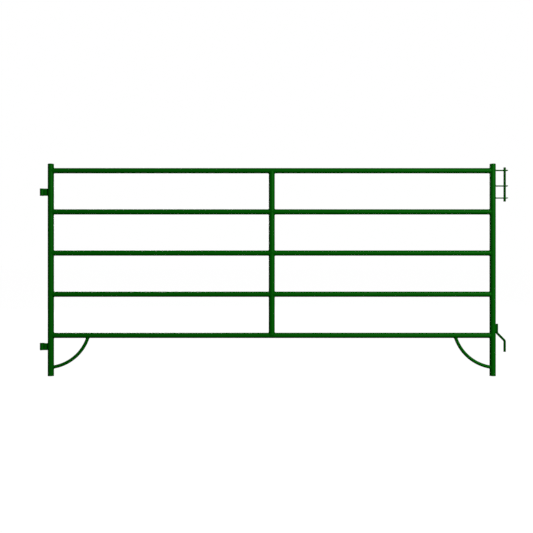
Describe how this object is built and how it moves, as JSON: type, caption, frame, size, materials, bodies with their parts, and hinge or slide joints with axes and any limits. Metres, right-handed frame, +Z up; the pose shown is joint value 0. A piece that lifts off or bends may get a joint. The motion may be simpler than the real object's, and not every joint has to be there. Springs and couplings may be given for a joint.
{
  "type": "livestock panel gate",
  "caption": "Free-standing round-tube livestock panel with level rails, curved corner braces, and pin-and-sleeve couplings that hook it to the next panel",
  "frame": {"origin": "on the ground, at the middle of the panel's overall length and in the plane of the tubes", "axes": "+X along the rails from the sleeves to the pins, +Y square to the panel, +Z up the posts"},
  "size_m": [3.6978, 0.0482, 1.6764],
  "materials": {
    "frame_paint": "semi-gloss",
    "bracket_paint": "semi-gloss",
    "pin_paint": "semi-gloss"
  },
  "bodies": {
    "panel_frame": {"left_post": "frame_paint", "right_post": "frame_paint", "left_post_cap": "frame_paint", "right_post_cap": "frame_paint", "bottom_rail": "frame_paint", "lower_rail": "frame_paint", "middle_rail": "frame_paint", "upper_rail": "frame_paint", "top_rail": "frame_paint", "bottom_stay": "frame_paint", "lower_stay": "frame_paint", "upper_stay": "frame_paint", "top_stay": "frame_paint", "left_corner_brace": "frame_paint", "right_corner_brace": "frame_paint", "lower_sleeve": "bracket_paint", "lower_sleeve_web": "bracket_paint", "upper_sleeve": "bracket_paint", "upper_sleeve_web": "bracket_paint", "bottom_guide_plate": "bracket_paint", "middle_guide_plate": "bracket_paint", "top_guide_plate": "bracket_paint", "hook_pin": "pin_paint"},
    "sliding_pin": {"slide_pin": "pin_paint", "cross_bar": "pin_paint"}
  },
  "joints": [
    {"name": "pin_lift", "type": "slide", "parent": "panel_frame", "child": "sliding_pin", "axis": [0, 0, 1], "range_m": [0, 0.109]}
  ]
}
